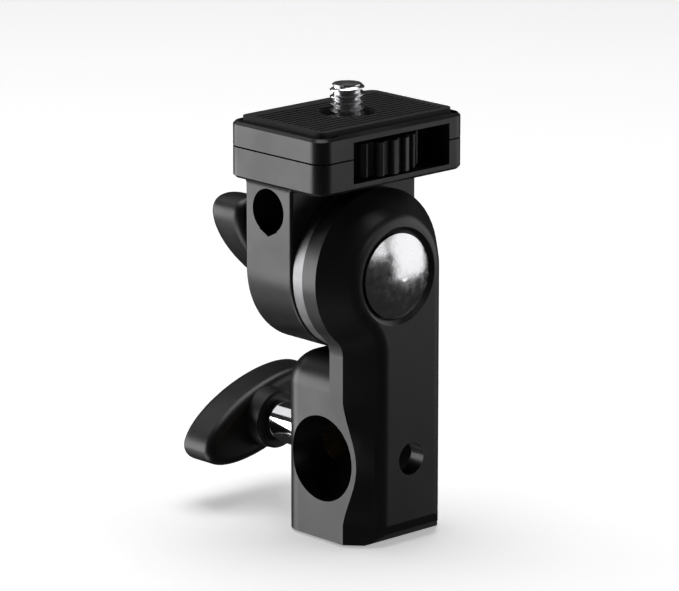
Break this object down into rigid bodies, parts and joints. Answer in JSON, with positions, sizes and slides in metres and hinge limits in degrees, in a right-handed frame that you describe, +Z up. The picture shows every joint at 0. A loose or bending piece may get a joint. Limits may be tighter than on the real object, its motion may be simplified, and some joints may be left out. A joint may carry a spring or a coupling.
{
  "type": "umbrella swivel bracket",
  "caption": "Tilting bracket that clamps on a light stand, holds an umbrella shaft and carries a flash or lamp on a screw platform.",
  "frame": {"origin": "centre of the stand socket's mouth, at the bottom of the lower body", "axes": "+Z up along the stand socket, -Y the side with the chrome cap, +Y the side with the knobs, X along the umbrella hole and the cross socket"},
  "size_m": [0.0366, 0.049, 0.0842],
  "materials": {
    "cast_black": "satin black paint on a die casting",
    "knob_black": "satin black moulded plastic",
    "wheel_black": "satin black moulded plastic",
    "cap_chrome": "polished",
    "screw_chrome": "polished",
    "screw_steel": "zinc plated",
    "ring_steel": "turned face",
    "dark_steel": "blackened",
    "insert_brass": "turned",
    "fibre": "friction fibre",
    "pad_rubber": "matt rubber",
    "washer_nylon": "natural nylon"
  },
  "bodies": {
    "base": {"lower_body": "cast_black", "friction_ring": "ring_steel", "ring_pins": "dark_steel", "pivot_bolt": "dark_steel", "pivot_cap": "cap_chrome", "thrust_washer": "ring_steel", "stand_lock_insert": "insert_brass"},
    "head": {"swivel_arm": "cast_black", "arm_disc": "fibre", "arm_bush": "insert_brass", "top_plate": "cast_black", "rubber_pad": "pad_rubber", "plate_screws": "dark_steel", "umbrella_insert": "insert_brass", "wheel_washer": "washer_nylon"},
    "tilt_handle": {"tilt_knob": "knob_black", "tilt_knob_nut": "dark_steel"},
    "stand_pad": {"stand_lock_pad": "insert_brass"},
    "stand_handle": {"stand_lock_knob": "knob_black", "stand_lock_screw": "screw_chrome"},
    "umbrella_handle": {"umbrella_screw": "dark_steel", "umbrella_pad": "insert_brass"},
    "camera_wheel": {"thumbwheel": "wheel_black", "camera_screw": "screw_steel", "screw_circlip": "dark_steel"}
  },
  "joints": [
    {"name": "tilt", "type": "hinge", "parent": "base", "child": "head", "pos_m": [-0.0034, 0, 0.0505], "axis": [0, 1, 0], "range_deg": [-90, 90]},
    {"name": "tilt_lock", "type": "hinge", "parent": "base", "child": "tilt_handle", "pos_m": [-0.0034, 0, 0.0505], "axis": [0, 1, 0], "range_deg": [0, 180]},
    {"name": "stand_lock_feed", "type": "slide", "parent": "base", "child": "stand_pad", "axis": [0, 1, 0], "range_m": [0, 0.0019]},
    {"name": "stand_lock_turn", "type": "hinge", "parent": "stand_pad", "child": "stand_handle", "pos_m": [0, 0, 0.0154], "axis": [0, 1, 0], "range_deg": [0, 540]},
    {"name": "umbrella_lock_turn", "type": "hinge", "parent": "head", "child": "umbrella_handle", "pos_m": [-0.0034, 0, 0.0621], "axis": [0, 1, 0], "range_deg": [0, 360]},
    {"name": "camera_screw_turn", "type": "hinge", "parent": "head", "child": "camera_wheel", "pos_m": [-0.0034, 0.0023, 0.07], "axis": [0, 0, 1], "continuous": true}
  ],
  "couplings": [
    {"joint": "stand_lock_feed", "follows": "stand_lock_turn", "m_per_rad": 0.00019894}
  ]
}
